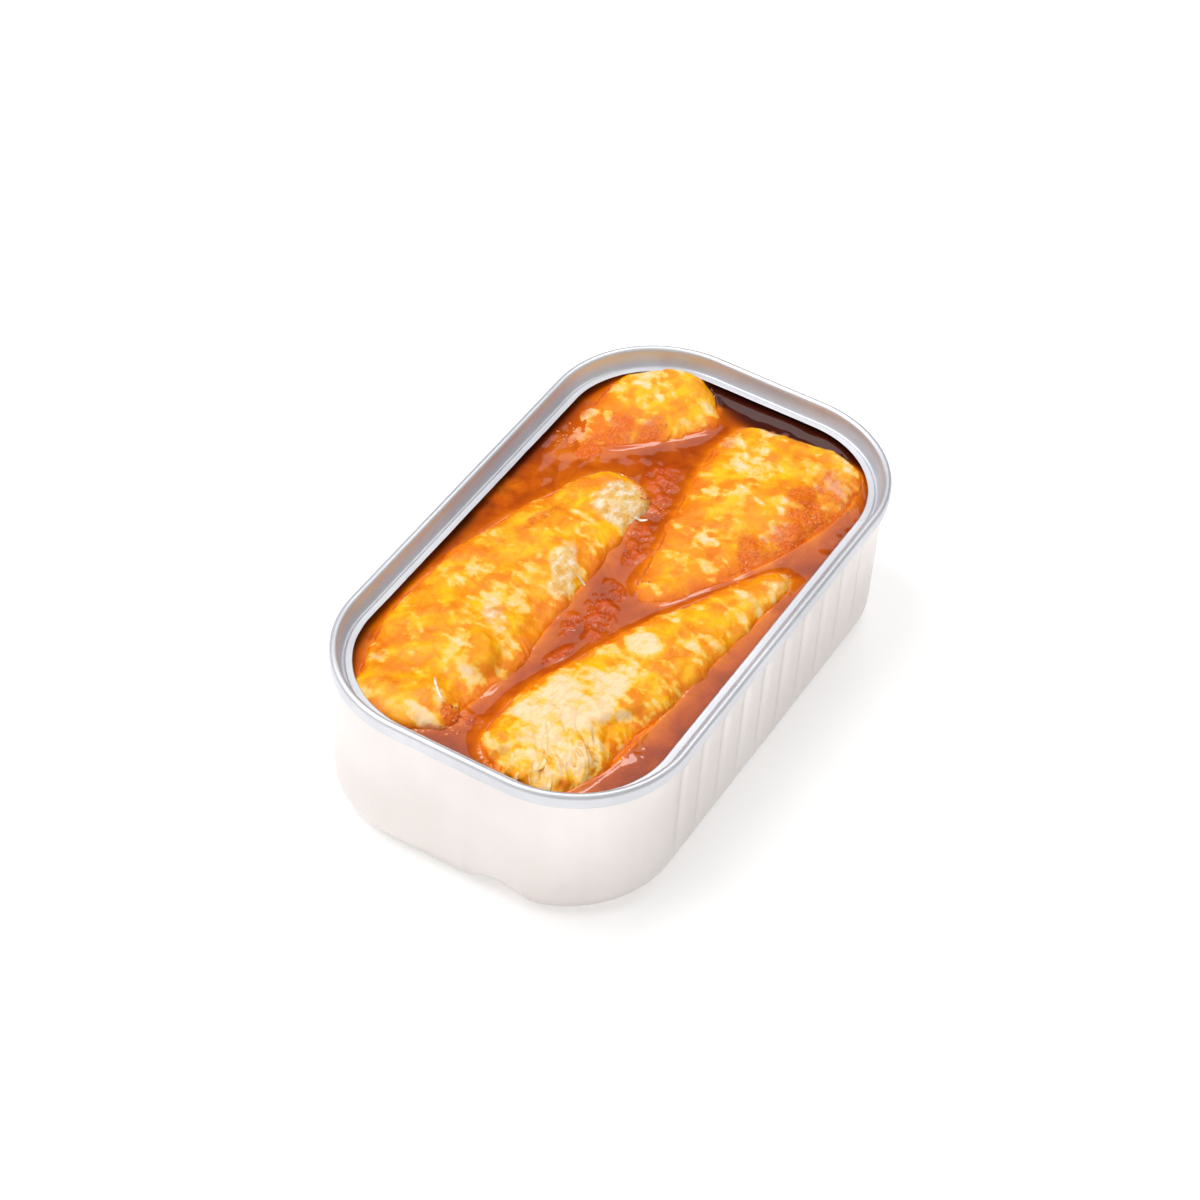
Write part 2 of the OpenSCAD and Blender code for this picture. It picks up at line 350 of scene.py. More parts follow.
def tin_body():
    c, n = outline(260, 56, 84)

    def shell(inward, side_steps, edge_steps):
        e = BASE_RADIUS - inward
        w = OVERHANG + inward
        zs = np.linspace(HEIGHT - 0.9, BASE_RADIUS, side_steps)[:-1]
        side = [(w, z) for z in zs]
        edge = arc(w + e, BASE_RADIUS, e, 180, 270, edge_steps)
        stand = [(w + e + (7.0 - BASE_RADIUS) * t, inward) for t in (0.25, 0.5, 0.75, 1.0)]
        lift = [(OVERHANG + 7.3, inward + 0.1 * PANEL_LIFT), (OVERHANG + 7.7, inward + 0.5 * PANEL_LIFT),
                (OVERHANG + 8.1, inward + 0.9 * PANEL_LIFT), (OVERHANG + 8.5, inward + PANEL_LIFT)]
        panel = [(14.0, inward + PANEL_LIFT), (SEAM_RADIUS - 0.05, inward + PANEL_LIFT)]
        return side + edge + stand + lift + panel

    outer = shell(0.0, 46, 16)
    inner = shell(SHEET, 14, 9)[::-1]
    profile = np.array(outer + inner)
    p = swept(c, n, profile[:, 0], profile[:, 1])
    deeper = np.array([0.0] * len(outer) + [SHEET] * len(inner))[None, :]

    # Flutes: upright grooves pressed into both long sides, with round ends.
    x, z = p[:, :, 0], p[:, :, 2]
    on_side = (np.abs(n[:, 1]) > 0.999)[:, None]
    middle = (FLUTES - 1) / 2
    nearest = np.clip(np.round(x / FLUTE_PITCH + middle), 0, FLUTES - 1)
    u = x - (nearest - middle) * FLUTE_PITCH
    ends = smooth(3.4, 6.4, z) * (1 - smooth(HEIGHT - 6.4, HEIGHT - 3.6, z))
    groove = 0.37 * np.exp(-((u / 1.05) ** 2)) + 0.05 * np.exp(-((u / 2.4) ** 2))
    ease = 1 - smooth(31.4, 31.9, np.abs(x))
    depth = groove * ends * on_side * ease
    # A hand-soft wall: it isn't quite flat anywhere.
    flat = p.reshape(-1, 3)
    wave = 0.05 * fbm(flat, 24.0, 2, 11).reshape(x.shape) * smooth(2.5, 9, z) * (1 - smooth(20, 25, z))
    p[:, :, :2] -= n[:, None, :] * (depth + np.abs(wave))[:, :, None]

    # The dent in the front bottom edge: what is inside the ball is pushed out to its skin.
    e = BASE_RADIUS * (1 - math.sqrt(0.5))
    out = (DENT_RADIUS - DENT_DEPTH) * math.sqrt(0.5)
    ball = np.array([-(LENGTH / 2 - OVERHANG) + e - out, DENT_Y, e - out])
    away = p - ball
    d = np.linalg.norm(away, axis=2)
    r = DENT_RADIUS + deeper
    soft = 0.22
    pushed = np.where(d > r + 4, d, r + soft * np.log1p(np.exp(np.clip((d - r) / soft, -30, 30))))
    p += away * ((pushed - d) / d)[:, :, None]
    # Two faint creases run away from the dent, up the wall.
    y, z = p[:, :, 1], p[:, :, 2]
    front = (n[:, 0] < -0.9)[:, None] * 1.0
    crease = 0.12 * np.exp(-(((y + 3.4 - 0.25 * (z - 4)) / 0.8) ** 2)) * (1 - smooth(4, 12, z))
    crease += 0.10 * np.exp(-(((y + 15.2 + 0.3 * (z - 4)) / 0.8) ** 2)) * (1 - smooth(4, 10, z))
    p[:, :, 0] += front * crease
    p[:, :, 2] = np.maximum(p[:, :, 2], 0.0)

    nu, nv = p.shape[:2]
    points = p.reshape(-1, 3)
    quads = grid_faces(nu, nv, wrap_u=True)
    first = np.arange(nu) * nv
    # A brim closes the two skins at the top, and a fan closes each in the middle of the base.
    k = len(outer)
    quads = quads[(quads[:, 0] % nv) != k - 1]
    brim = np.stack([first, first + nv - 1, np.roll(first, -1) + nv - 1, np.roll(first, -1)], 1)
    mids = np.array([[0, 0, PANEL_LIFT], [0, 0, PANEL_LIFT + SHEET]])
    points = np.vstack([points, mids])
    tris = np.vstack([fan(first + k - 1, len(points) - 2, True), fan(first + k, len(points) - 1)])
    ob = make_mesh("tin_shell", points, [quads, brim, tris])
    outward(ob)
    ob.data.materials.append(tin_paint)
    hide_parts("tin_body")


def lid_ring():
    c, n = outline(200, 60, 64)
    t = HEIGHT
    outer_foot = arc(0.46, t - 2.24, 0.46, 270, 180, 7)
    face = [(0.0, t - 1.9), (0.0, t - 1.2), (0.0, t - 0.8)]
    crown = arc(0.725, t - 0.725, 0.725, 180, 30, 16)
    chuck = [(1.44, t - 0.75), (1.49, t - 1.1), (1.55, t - 1.6), (1.62, t - 2.1), (1.70, t - 2.5),
             (1.76, t - 2.8), (1.80, LEDGE_Z + 0.12), (1.84, LEDGE_Z + 0.03)]
    groove = arc(2.225, LEDGE_Z, 0.38, 180, 360, 11)
    ledge = [(2.72, LEDGE_Z), (2.80, LEDGE_Z), (3.0, LEDGE_Z), (3.2, LEDGE_Z), (3.45, LEDGE_Z),
             (3.66, LEDGE_Z + 0.02), (LEDGE_LIP, LEDGE_Z), (LEDGE_INNER, LEDGE_Z - 0.07),
             (LEDGE_INNER - 0.01, LEDGE_Z - 0.2), (LEDGE_INNER - 0.1, LEDGE_Z - 0.22)]
    under = [(2.7, LEDGE_Z - 0.22)] + arc(2.225, LEDGE_Z, 0.58, -20, -160, 7)
    under += [(1.5, LEDGE_Z), (1.24, LEDGE_Z + 1.0), (1.23, t - 1.0), (1.1, t - 0.87), (0.95, t - 0.87),
              (0.93, t - 1.1)]
    profile = np.array(outer_foot + face + crown + chuck + groove + ledge + under)
    p = swept(c, n, profile[:, 0], profile[:, 1])
    # The torn edge of the ledge isn't quite even, and the ledge and the seam wave a little.
    flat = p.reshape(-1, 3)
    free = (profile[:, 0] > 3.6)[None, :]
    step = (0.035 * noise(flat, 1.3, 5) + 0.03 * noise(flat, 5.0, 6)).reshape(p.shape[:2]) * free
    p[:, :, :2] += n[:, None, :] * (0.04 + step)[:, :, None] * free[:, :, None]
    sink = (0.03 * noise(flat, 14.0, 8)).reshape(p.shape[:2])
    dip = (0.02 * noise(flat, 9.0, 9) - 0.02).reshape(p.shape[:2])
    p[:, :, 2] += sink * (profile[:, 0] > 2.6)[None, :]
    p[:, :, 2] += dip * (profile[:, 1] > t - 0.5)[None, :]
    nu, nv = p.shape[:2]
    ob = make_mesh("lid_rim", p.reshape(-1, 3), grid_faces(nu, nv, True, True))
    ob.data.materials.append(ring_paint)
    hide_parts("lid_ring")


# ---------------------------------------------------------------- the sardines
class Fish:
    """One sardine: the same middle line, widths and crown as its CAD solid."""

    def __init__(self, node, head, tail, bend, cut, belly, tail_width, belly_at, taper, thin, round_share,
                 head_drop, tail_drop):
        self.node = node
        self.head, self.tail = np.array(head, float), np.array(tail, float)
        self.bend, self.cut, self.belly, self.tail_width = bend, cut, belly, tail_width
        self.belly_at, self.taper, self.thin, self.round_share = belly_at, taper, thin, round_share
        self.drops = (head_drop, tail_drop)
        self.run = self.tail - self.head
        self.length = float(np.linalg.norm(self.run))
        self.side = np.array([-self.run[1], self.run[0]]) / self.length

    def middle(self, t):
        t = np.asarray(t)[..., None]
        return self.head + self.run * t + self.side * self.bend * 4 * t * (1 - t)

    def left(self, t):
        t = np.asarray(t)
        d = self.middle(np.minimum(1, t + 0.01)) - self.middle(np.maximum(0, t - 0.01))
        d /= np.linalg.norm(d, axis=-1, keepdims=True)
        return np.stack([-d[..., 1], d[..., 0]], -1)

    def full(self, t):
        """How full the section is: it rounds off at the cut and at the tail."""
        tip = 0.05
        cut, tail = np.minimum(1, t / self.round_share), np.minimum(1, (1 - t) / 0.06)
        at_cut, at_tail = np.sqrt(1 - (1 - cut) ** 2), np.sqrt(1 - (1 - tail) ** 2)
        return (tip + (1 - tip) * at_cut) * (tip + (1 - tip) * at_tail)

    def half(self, t):
        before = self.cut + (self.belly - self.cut) * smooth(0, 1, t / self.belly_at)
        s = np.clip((t - self.belly_at) / (1 - self.belly_at), 0, 1)
        after = self.belly + (self.tail_width - self.belly) * s**self.taper
        return np.where(t < self.belly_at, before, after)

    def thick(self, t):
        return 1 - (1 - self.thin) * smooth(0, 1, t)

    def crown(self, t):
        return HEIGHT - (self.drops[0] + (self.drops[1] - self.drops[0]) * smooth(0, 1, t))

    def waterline(self, t):
        """Share of the half width at which the skin meets the oil's level, and whether it does."""
        up = FISH_UP * self.thick(t)
        rise = (LEVEL - (self.crown(t) - up)) / np.maximum(up * self.full(t), 0.01)
        return (np.clip(1 - np.clip(rise, 0, 1) ** FISH_POWER, 0, 1)) ** (1 / FISH_POWER), rise < 1

    def at(self, xy):
        """For points seen from above: share along, signed share across, height and distance outside."""
        ts = np.linspace(0, 1, 241)
        m = self.middle(ts)
        best = np.argmin(((xy[:, None, :] - m[None]) ** 2).sum(2), 1)
        t = ts[best]
        off = xy - m[best]
        left = self.left(t)
        across = (off * left).sum(1)
        along = (off * np.stack([left[:, 1], -left[:, 0]], 1)).sum(1)
        w = self.half(t) * self.full(t)
        v = across / np.maximum(w, 0.01)
        past = np.abs(along) > 0.25
        up = FISH_UP * self.thick(t)
        round_ = np.clip(1 - np.abs(v) ** FISH_POWER, 0, 1) ** (1 / FISH_POWER)
        h = self.crown(t) - up + up * self.full(t) * round_
        h = np.where((np.abs(v) > 1) | past, -FAR, h)
        return t, v, h, np.where(past, FAR, (np.abs(v) - 1) * w)


# head, tail, bend, half widths at cut, belly and tail, belly's share along, taper, tail's thickness,
# rounding of the cut, and drops of the crown at head and tail
FISH = [
    Fish("sardine_back_left", [49.4, 10.9], [9, 22.2], -2.4, 8.2, 10.7, 1.6, 0.19, 1.15, 0.35, 0.11, 2.0,
         5.4),
    Fish("sardine_back_right", [45.4, -10.9], [-3.2, -5.8], 2.0, 11.8, 13.6, 2.6, 0.2, 1.5, 0.4, 0.07, 1.7,
         3.6),
    Fish("sardine_front_left", [-48.6, 12.8], [20.8, 8.8], 3.2, 8.8, 12.1, 5, 0.33, 1.8, 0.6, 0.09, 1.9, 2.6),
    Fish("sardine_front_right", [-48.4, -8.7], [15.2, -23.6], 1.6, 8.8, 10.7, 2.4, 0.2, 1.35, 0.55, 0.07, 1.7,
         2.9),
]
A, B, C, D = FISH


def inside_opening(xy, inset):
    """Points moved to lie within the ledge's edge face, taken in by inset."""
    r = SEAM_RADIUS - LEDGE_INNER - inset
    core = np.stack([np.clip(xy[:, 0], -DX, DX), np.clip(xy[:, 1], -DY, DY)], 1)
    off = xy - core
    d = np.linalg.norm(off, axis=1)
    k = np.where(d > r, r / np.maximum(d, 1e-6), 1.0)
    return core + off * k[:, None]


def fish_grid(f, na_top, na_low, step):
    """A sardine's bare skin as a grid of rings from cut to tail: each point's share along, its place
    across in millimetres, and the points."""
    n = int(f.length / step)
    even = np.linspace(0, 1, n)
    ends = (1 - np.cos(np.pi * np.linspace(0, 1, 15))) / 2
    t = np.unique(np.round(np.concatenate([even, ends[1:6] * 0.02, 1 - ends[1:6] * 0.02, [0.004, 0.996]]), 5))
    top = np.linspace(-14, 194, na_top)
    low = np.linspace(194, 346, na_low + 2)[1:-1]
    a = np.radians(np.concatenate([top, low]))
    t, a = np.meshgrid(t, a, indexing="ij")
    full, thick = f.full(t), f.thick(t)
    power = 2 / FISH_POWER
    ca, sa = np.cos(a), np.sin(a)
    across = f.half(t) * full * np.sign(ca) * np.abs(ca) ** power
    up = np.where(sa >= 0, FISH_UP, FISH_DOWN) * thick * full
    z = f.crown(t) - FISH_UP * thick + up * np.sign(sa) * np.abs(sa) ** power
    xy = f.middle(t) + f.left(t) * across[..., None]
    return t, across, np.concatenate([xy, z[..., None]], 2)


def normals_of(p):
    du = np.gradient(p, axis=0)
    dv = np.roll(p, -1, 1) - np.roll(p, 1, 1)
    n = np.cross(dv, du)
    return n / np.maximum(np.linalg.norm(n, axis=2, keepdims=True), 1e-9)


def strokes(p, turn, long, wide, seed):
    """Ridged noise drawn out along a direction seen from above: fibres and wrinkles."""
    c, s = math.cos(math.radians(turn)), math.sin(math.radians(turn))
    q = np.stack([p[:, 0] * c + p[:, 1] * s, -p[:, 0] * s + p[:, 1] * c, p[:, 2]], 1)
    warp = 0.5 * wide * noise(q, (long, wide * 3, 3.0), seed + 40)
    q[:, 1] += warp * 2
    return 1 - np.abs(noise(q, (long, wide, wide * 3), seed)) * 2


def build_fish(f, turn, seed, detail):
    """A sardine's skin with its relief, and the values that its material needs at each point."""
    t, across, p = fish_grid(f, *detail)
    nu, nv = t.shape
    flat, nf = p.reshape(-1, 3), normals_of(p).reshape(-1, 3)
    t, across = t.ravel(), across.ravel()
    upward = np.clip(nf[:, 2], 0, 1)
    seen = smooth(-0.2, 0.35, nf[:, 2])

    cream, stain, silver = paint_masks(f, flat, t, across, upward, seed)
    h = 0.85 * fbm(flat, (9, 9, 9), 3, seed) + 0.42 * fbm(flat, 3.4, 3, seed + 3)
    h += 0.05 * fbm(flat, 0.9, 2, seed + 4)
    wrinkle = strokes(flat, turn, 4.0, 0.9, seed + 5)
    h += 0.08 * wrinkle * (0.35 + 0.65 * smooth(-0.3, 0.5, fbm(flat, 6.0, 2, seed + 7)))
    h += (0.015 + 0.03 * silver + 0.02 * cream) * strokes(flat, turn + 12, 1.8, 0.34, seed + 9)
    f1, f2, who = cells(flat, (2.6, 2.6, 6), seed + 12)
    h += 0.05 * (who - 0.5) * smooth(0.0, 0.25, f2 - f1)
    h += stain * (0.06 + 0.07 * fbm(flat, 0.9, 2, seed + 20))
    h += feature_relief(f, flat, seed)
    moved = flat + nf * (h * seen)[:, None]
    moved[:, :2] = inside_opening(moved[:, :2], ROOM)
    moved[:, 2] = np.minimum(moved[:, 2], HEIGHT - 0.9)
    # Painted shade: the skin turns deeper orange lower down the flanks, towards the oil.
    flank = 0.85 * (1 - smooth(23.9, 26.0, flat[:, 2] + 0.8 * fbm(flat, 5.0, 2, seed + 50)))

    points = np.vstack([moved, moved[:nv].mean(0), moved[-nv:].mean(0)])
    quads = grid_faces(nu, nv, wrap_v=True)
    ring = np.arange(nv)
    tris = np.vstack([fan(ring, len(points) - 2, True), fan((nu - 1) * nv + ring, len(points) - 1)])
    ob = make_mesh(f.node.replace("sardine", "fish"), points, [quads[:, ::-1], tris[:, ::-1]])
    pad = lambda v: np.concatenate([v, [v[:nv].mean(), v[-nv:].mean()]])
    tint = np.stack([pad(cream), pad(stain), pad(silver), np.ones(len(points))], 1)
    put(ob, "masks", tint, "FLOAT_COLOR")
    put(ob, "flank", pad(flank))
    lay = np.stack([pad(t * f.length), pad(across), points[:, 2]], 1)
    put(ob, "lay", lay * MM, "FLOAT_VECTOR")
    f.skin = moved.reshape(nu, nv, 3)
    f.upper = np.arange(detail[0])
    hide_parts(f.node)
    return ob


# Tomato stains on each sardine: x, y, half length, half width, turn and strength.
STAINS = {
    A: [(29, 17, 5.5, 2.6, 15), (32, 12.6, 4, 2.2, 0), (24, 18.5, 4, 2.5, 10), (15, 21, 8, 4, 170, 1.4),
        (20, 24.5, 5, 3, 170, 1.2)],
    B: [(32, -17, 2.6, 3.4, 70), (28.5, -21, 4.5, 2.4, 30, 1.1), (22, -20.6, 5.5, 2.3, 25, 1.2),
        (14, -16.6, 6.5, 2.0, 32, 1.2), (38, 1.0, 3.5, 2.0, 20, 0.7), (30, 1.0, 7, 1.3, 2, 0.6)],
    C: [(-37.5, 21.4, 4.0, 1.2, 20, 0.6), (-42.5, 16.4, 1.3, 4.0, 20, 0.55), (-43, 4.6, 4, 1.6, 60, 0.9),
        (2, 16.8, 6, 1.2, 165, 0.8)],
    D: [(-33, -22.5, 5, 2, 0, 0.8), (-22, -24.0, 5, 1.0, 0, 0.8)],
}
# Lumps and hollows on each sardine: height, x, y, half length, half width, turn and softness.
LUMPS = {
    A: [(0.3, 38, 17, 6, 5, 0, 0.8), (-0.3, 24, 16, 8, 2, 25, 0.8)],
    B: [(-0.35, 43.0, -4.6, 2.2, 1.6, 0, 0.8), (0.25, 14, -9, 9, 5, 10, 0.7),
        (-0.3, 26, -21.5, 12, 1.5, 18, 0.8)],
    C: [(1.25, -30.0, 8.2, 3.4, 2.8, 30, 0.5), (0.3, -27.6, 9.8, 2.2, 1.6, 30, 0.6),
        (-0.75, -38.0, 6.4, 4.6, 2.4, 60, 0.7), (-0.3, 9.0, 10.8, 2.5, 5.0, 0, 0.8),
        (0.35, -5.6, 7.2, 6.2, 2.2, 22, 0.5), (-0.35, -13.5, 6.8, 4.0, 1.6, 15, 0.6),
        (-0.25, -24, 4.6, 9, 1.2, 3, 0.7)],
    D: [(-1.1, -46.2, -6.4, 1.6, 1.4, 0, 0.7), (-0.6, -37.2, -16.2, 3.6, 0.7, 55, 0.8),
        (0.5, -39, -15.2, 3.4, 1.5, 55, 0.6), (0.35, -30, -9, 8, 5, 160, 0.4)],
}


def paint_masks(f, p, t, across, upward, seed):
    """How creamy, tomato-stained and silvery the skin is at each point; the cream is partly pale skin and
    partly painted sheen and painted top light.
    """
    patch = fbm(p, (4.2, 4.2, 9), 4, seed + 30)
    # Painted top light and sheen: the cream blotches gather on skin that faces up, and stand partly for the
    # lamps' sheen on the wet skin as well as for pale skin.
    cream = smooth(0.02, 0.34, patch + 0.16 * strokes(p, 30, 5, 1.4, seed + 31) + 0.25 * upward - 0.22)
    cream *= 0.62 * smooth(24.3, 25.4, p[:, 2])
    stain = 0.75 * (1 - smooth(23.9, 25.1, p[:, 2] + 0.5 * fbm(p, 3.0, 3, seed + 33)))
    silver = np.zeros(len(p))
    ragged = 0.5 + 0.5 * fbm(p, 1.6, 3, seed + 35)

    def blot(x, y, rx, ry, turn=0, power=1.0):
        return np.clip(spot(p, x, y, rx, ry, turn, 0.55) * power * (0.55 + 0.9 * ragged), 0, 1)

    for place in STAINS[f]:
        stain = np.maximum(stain, blot(*place))
    if f is A:
        cream = np.maximum(cream * 0.8, blot(27, 23.4, 4.5, 1.8, 5))
    if f is B:
        band = smooth(3.0, 7.2, across) * (1 - smooth(0.66, 0.9, t)) * smooth(0.02, 0.16, t)
        stain = np.maximum(stain, np.clip(band * (0.30 + 0.85 * ragged), 0, 1))
    if f is C:
        silver = np.maximum(blot(13.6, 7.4, 5.2, 4.6, 0, 1.25), blot(-5.6, 7.2, 6.2, 2.3, 22, 0.95))
        silver = np.maximum(silver, 0.7 * blot(-21, 10.6, 4.0, 2.0, 40))
        cream = np.maximum(0.6 * cream, blot(-45.6, 8.6, 1.4, 6.5, 0, 0.8))
    if f is D:
        cream = np.maximum(0.8 * cream, blot(-31, -9.5, 9.5, 6.0, 160, 1.6))
        cream = np.maximum(cream, blot(-41, -12, 6.5, 7, 0, 1.0))
        silver = 0.5 * blot(9.5, -22.6, 8.5, 3.0, 166)
    return cream, np.clip(stain, 0, 1), silver


def feature_relief(f, p, seed):
    """Each sardine's own lumps and hollows, and the torn head end and belly of the front right one."""
    h = np.zeros(len(p))
    for height, *place in LUMPS[f]:
        h += height * spot(p, *place)
    if f is D:
        area = spot(p, -41, -11.5, 8.5, 10, 0, 0.4)
        h += (0.22 * strokes(p, 35, 5.0, 0.8, seed + 60) + 0.6 * fbm(p, 2.6, 3, seed + 61)) * area
        below = smooth(-1.2, 1.2, -(p[:, 1] + 16.2) - 0.5 * (p[:, 0] + 30))
        h -= 1.2 * below * spot(p, -31.5, -20.5, 6.0, 5.0, 0, 0.4)
    return h


def fish_paint(name):
    """Wet golden skin with pale blotches, tomato stains and silver, placed by the values on each point."""
    m = Paint(name)

    def nudge(value, by, amount):
        return m.math("ADD", value, m.math("MULTIPLY", m.math("SUBTRACT", by, 0.5), amount))

    lay = m.attr("lay", "Vector")
    masks = m.attr("masks", "Color")
    split = m.node("ShaderNodeSeparateColor")
    m.link(masks, split.inputs[0])
    cream, stain, silver = split.outputs[0], split.outputs[1], split.outputs[2]
    patch = m.noise(290.0, 3.5, 0.52, vector=lay, stretch=(1.25, 0.72, 1.0), distortion=0.3)
    broad = m.noise(130.0, 4.0, 0.6)
    fibre = m.noise(1500.0, 4.0, 0.6, vector=lay, stretch=(0.32, 1.5, 1.0), distortion=0.5)
    speck = m.noise(2600.0, 3.0, 0.6)
    # Golden skin, from deep orange gold to yellow, and deeper towards the oil, where painted shade darkens
    # the lower flanks.
    gold = m.ramp(m.range(m.noise(260.0, 3.0, 0.55, distortion=0.3), 0.32, 0.68),
                  [(0.0, srgb(238, 132, 0)), (0.4, srgb(248, 156, 0)), (0.75, srgb(252, 173, 0)),
                   (1.0, srgb(254, 194, 6))])
    gold = m.mix(m.range(fibre, 0.52, 0.70, 0.0, 0.22), gold, srgb(232, 118, 0))
    gold = m.mix(m.attr("flank"), gold, srgb(232, 112, 0))
    # Pale blotches, partly pale skin showing through and partly a painted sheen of the lamps on the wet skin:
    # yellow at their edges, peach white in their middles.
    patch = nudge(patch, m.noise(850.0, 3.0, 0.6), 0.40)
    over = m.math("ADD", m.math("ADD", patch, m.math("MULTIPLY", broad, 0.35)),
                  m.math("MULTIPLY", cream, 0.30))
    over = nudge(over, fibre, 0.10)
    pale = m.ramp(m.range(over, 0.74, 1.02), [(0.0, srgb(255, 198, 30)), (0.3, srgb(252, 202, 92)),
                                              (0.6, srgb(250, 208, 132)), (1.0, srgb(250, 222, 182))])
    pale = m.mix(m.range(fibre, 0.45, 0.68, 0.0, 0.45), pale, srgb(250, 188, 70))
    base = m.mix(m.range(over, 0.70, 0.87, 0.0, 0.92), gold, pale)
    red = m.mix(m.range(speck, 0.4, 0.65), srgb(208, 76, 0), srgb(238, 120, 0))
    base = m.mix(m.range(nudge(stain, m.noise(480.0, 4.0, 0.6), 1.1), 0.15, 1.05, 0.0, 0.88), base, red)
    mottle = nudge(m.noise(620.0, 3.5, 0.6, distortion=0.4), fibre, 0.5)
    scale = m.ramp(m.range(mottle, 0.3, 0.7), [(0.0, srgb(216, 164, 72)), (0.35, srgb(226, 186, 112)),
                                               (0.7, srgb(228, 206, 160)), (1.0, srgb(240, 230, 212))])
    base = m.mix(m.range(nudge(silver, patch, 1.6), 0.25, 0.95, 0.0, 0.85), base, scale)
    rough = m.range(speck, 0.3, 0.7, 0.34, 0.5)
    nrm = m.bump(fibre, 0.5, 0.0001)
    nrm = m.bump(speck, 0.3, 0.00004, nrm)
    m.shader.inputs["Subsurface Radius"].default_value = (1.0, 0.42, 0.12)
    m.shader.inputs["Subsurface Scale"].default_value = 0.0012
    m.shader.inputs["Subsurface Weight"].default_value = 0.10
    m.shader.inputs["Coat Weight"].default_value = 0.85
    m.shader.inputs["Coat Roughness"].default_value = 0.05
    m.shader.inputs["Coat IOR"].default_value = 1.47
    m.shader.inputs["Specular IOR Level"].default_value = 0.0
    m.set(Base_Color=base, Roughness=rough, Normal=nrm)
    m.set(Coat_Normal=m.bump(m.math("ADD", fibre, m.noise(700.0, 2.0)), 0.8, 0.00035))
    return m.mat


# ---------------------------------------------------------------- the sauce
def sauce_surface():
    """The oil: a fine upper surface that climbs the sardines and the wall, and a plain closed underside."""
    nx, ny = 404, 226
    crowding = 1.25  # brings the columns closer together towards the ends
    inset = OVERHANG + SHEET + 0.02
    half_l, half_w, r = LENGTH / 2 - inset, WIDTH / 2 - inset, SEAM_RADIUS - inset
    x = np.sin(np.linspace(-1, 1, nx) * crowding) / math.sin(crowding) * half_l
    into = np.clip(np.abs(x) - (half_l - r), 0, r)
    reach = half_w - r + np.sqrt(np.maximum(r * r - into * into, 0))
    v = np.linspace(-1, 1, ny)
    xy = np.stack([np.repeat(x, ny), (v[None, :] * reach[:, None]).ravel()], 1)

    # The gap to the line where the nearest sardine meets the surface, and how deep it lies under it.
    gap = np.full(len(xy), FAR)
    depth = np.full(len(xy), FAR)
    line = []
    ts = np.linspace(0, 1, 160)
    for f in FISH:
        t, across, h, d = f.at(xy)
        edge, meets = f.waterline(t)
        d_line = (np.abs(across) - edge) * f.half(t) * f.full(t)
        gap = np.minimum(gap, np.where((d > 8) | ~meets, FAR, d_line))
        depth = np.minimum(depth, LEVEL - h)
        edge, meets = f.waterline(ts)
        edge = edge * f.half(ts) * f.full(ts)
        for side in (-1, 1):
            line.append((f.middle(ts) + f.left(ts) * (side * edge)[:, None])[meets])
    # Outside the sardines the gap is the distance to the nearest point of those lines.
    line = np.vstack(line)
    near = np.full(len(xy), FAR)
    for k in range(0, len(line), 64):
        part = line[k:k + 64]
        near = np.minimum(near, np.sqrt(((xy[:, None] - part[None]) ** 2).sum(2)).min(1))
    gap = np.where(gap < 0, gap, near)
    p3 = np.concatenate([xy, np.zeros((len(xy), 1))], 1)

    z = np.full(len(xy), LEVEL)
    outside = np.clip(gap, 0, FAR)
    z += 0.42 * np.exp(-outside / 0.55) * (0.75 + 0.5 * fbm(p3, 4.0, 2, 71))
    z += 0.05 * fbm(p3, 11.0, 2, 72) + 0.012 * fbm(p3, 2.5, 2, 73)
    clump = clump_field(p3)
    z += clump * (0.12 + 0.22 * fbm(p3, 0.8, 3, 74))
    chunk = spot(p3, -30.5, -19.3, 5.0, 3.6, 25, 0.6) * (0.6 + 0.6 * fbm(p3, 3.0, 3, 90))
    z += 0.55 * np.clip(chunk, 0, 1) * (0.6 + 0.8 * fbm(p3, 1.6, 3, 91))
    sunk_tail = spot(p3, 8.0, 24.0, 9.5, 3.2, 172, 0.5) * (0.55 + 0.9 * fbm(p3, 2.2, 4, 92))
    z -= 0.05
    z = np.where(gap < -0.6, LEVEL - 0.4, z)
    r_open = SEAM_RADIUS - LEDGE_INNER
    core = np.stack([np.clip(xy[:, 0], -DX, DX), np.clip(xy[:, 1], -DY, DY)], 1)
    past = np.linalg.norm(xy - core, axis=1) - r_open
    z += 0.30 * np.exp(-((past / 1.5) ** 2)) * smooth(38, 44, xy[:, 0]) * (0.8 + 0.4 * fbm(p3, 5.0, 2, 93))
    z = np.minimum(z, np.where(past > -0.4, LEVEL + 0.25, np.inf))

    # How much light comes back out of the oil: near the sardines it glows, over deep gaps it is dark.
    glow = np.exp(-np.clip(depth, 0, FAR) / 0.9)
    glow = np.maximum(glow, 0.85 * np.exp(-outside / 1.3))
    glow = np.maximum(glow, np.clip(1.1 * chunk, 0, 1))
    glow = np.maximum(glow, np.clip(0.75 * sunk_tail, 0, 0.8))
    deep = np.maximum(spot(p3, 47.6, -8.5, 5.2, 17.5, 0, 0.35), 0)
    deep = np.maximum(deep * smooth(-0.2, 1.0, gap), spot(p3, 48.2, 6.0, 3.0, 6, 0, 0.3))
    # Painted shadow and shade, kept in the dark mask: a dark strip along the left wall where the wall shades
    # the oil, a dark band within 1.6 mm of the ledge's edge face all round where the ledge shades it, and oil
    # that is darker towards the near end.
    wall_shadow = smooth(24.0, 27.0, xy[:, 1] + 0.35 * fbm(p3, 6.0, 2, 77)) * smooth(-47, -36, xy[:, 0])
    wall_shadow *= 1 - 0.45 * smooth(2, 20, xy[:, 0])
    ledge_shade = smooth(-1.6, 0.0, past)
    front = smooth(-45.0, -48.0, xy[:, 0])
    dark = np.clip(0.8 * wall_shadow + 0.5 * ledge_shade + 0.35 * front, 0, 1)
    top = np.concatenate([xy, z[:, None]], 1)

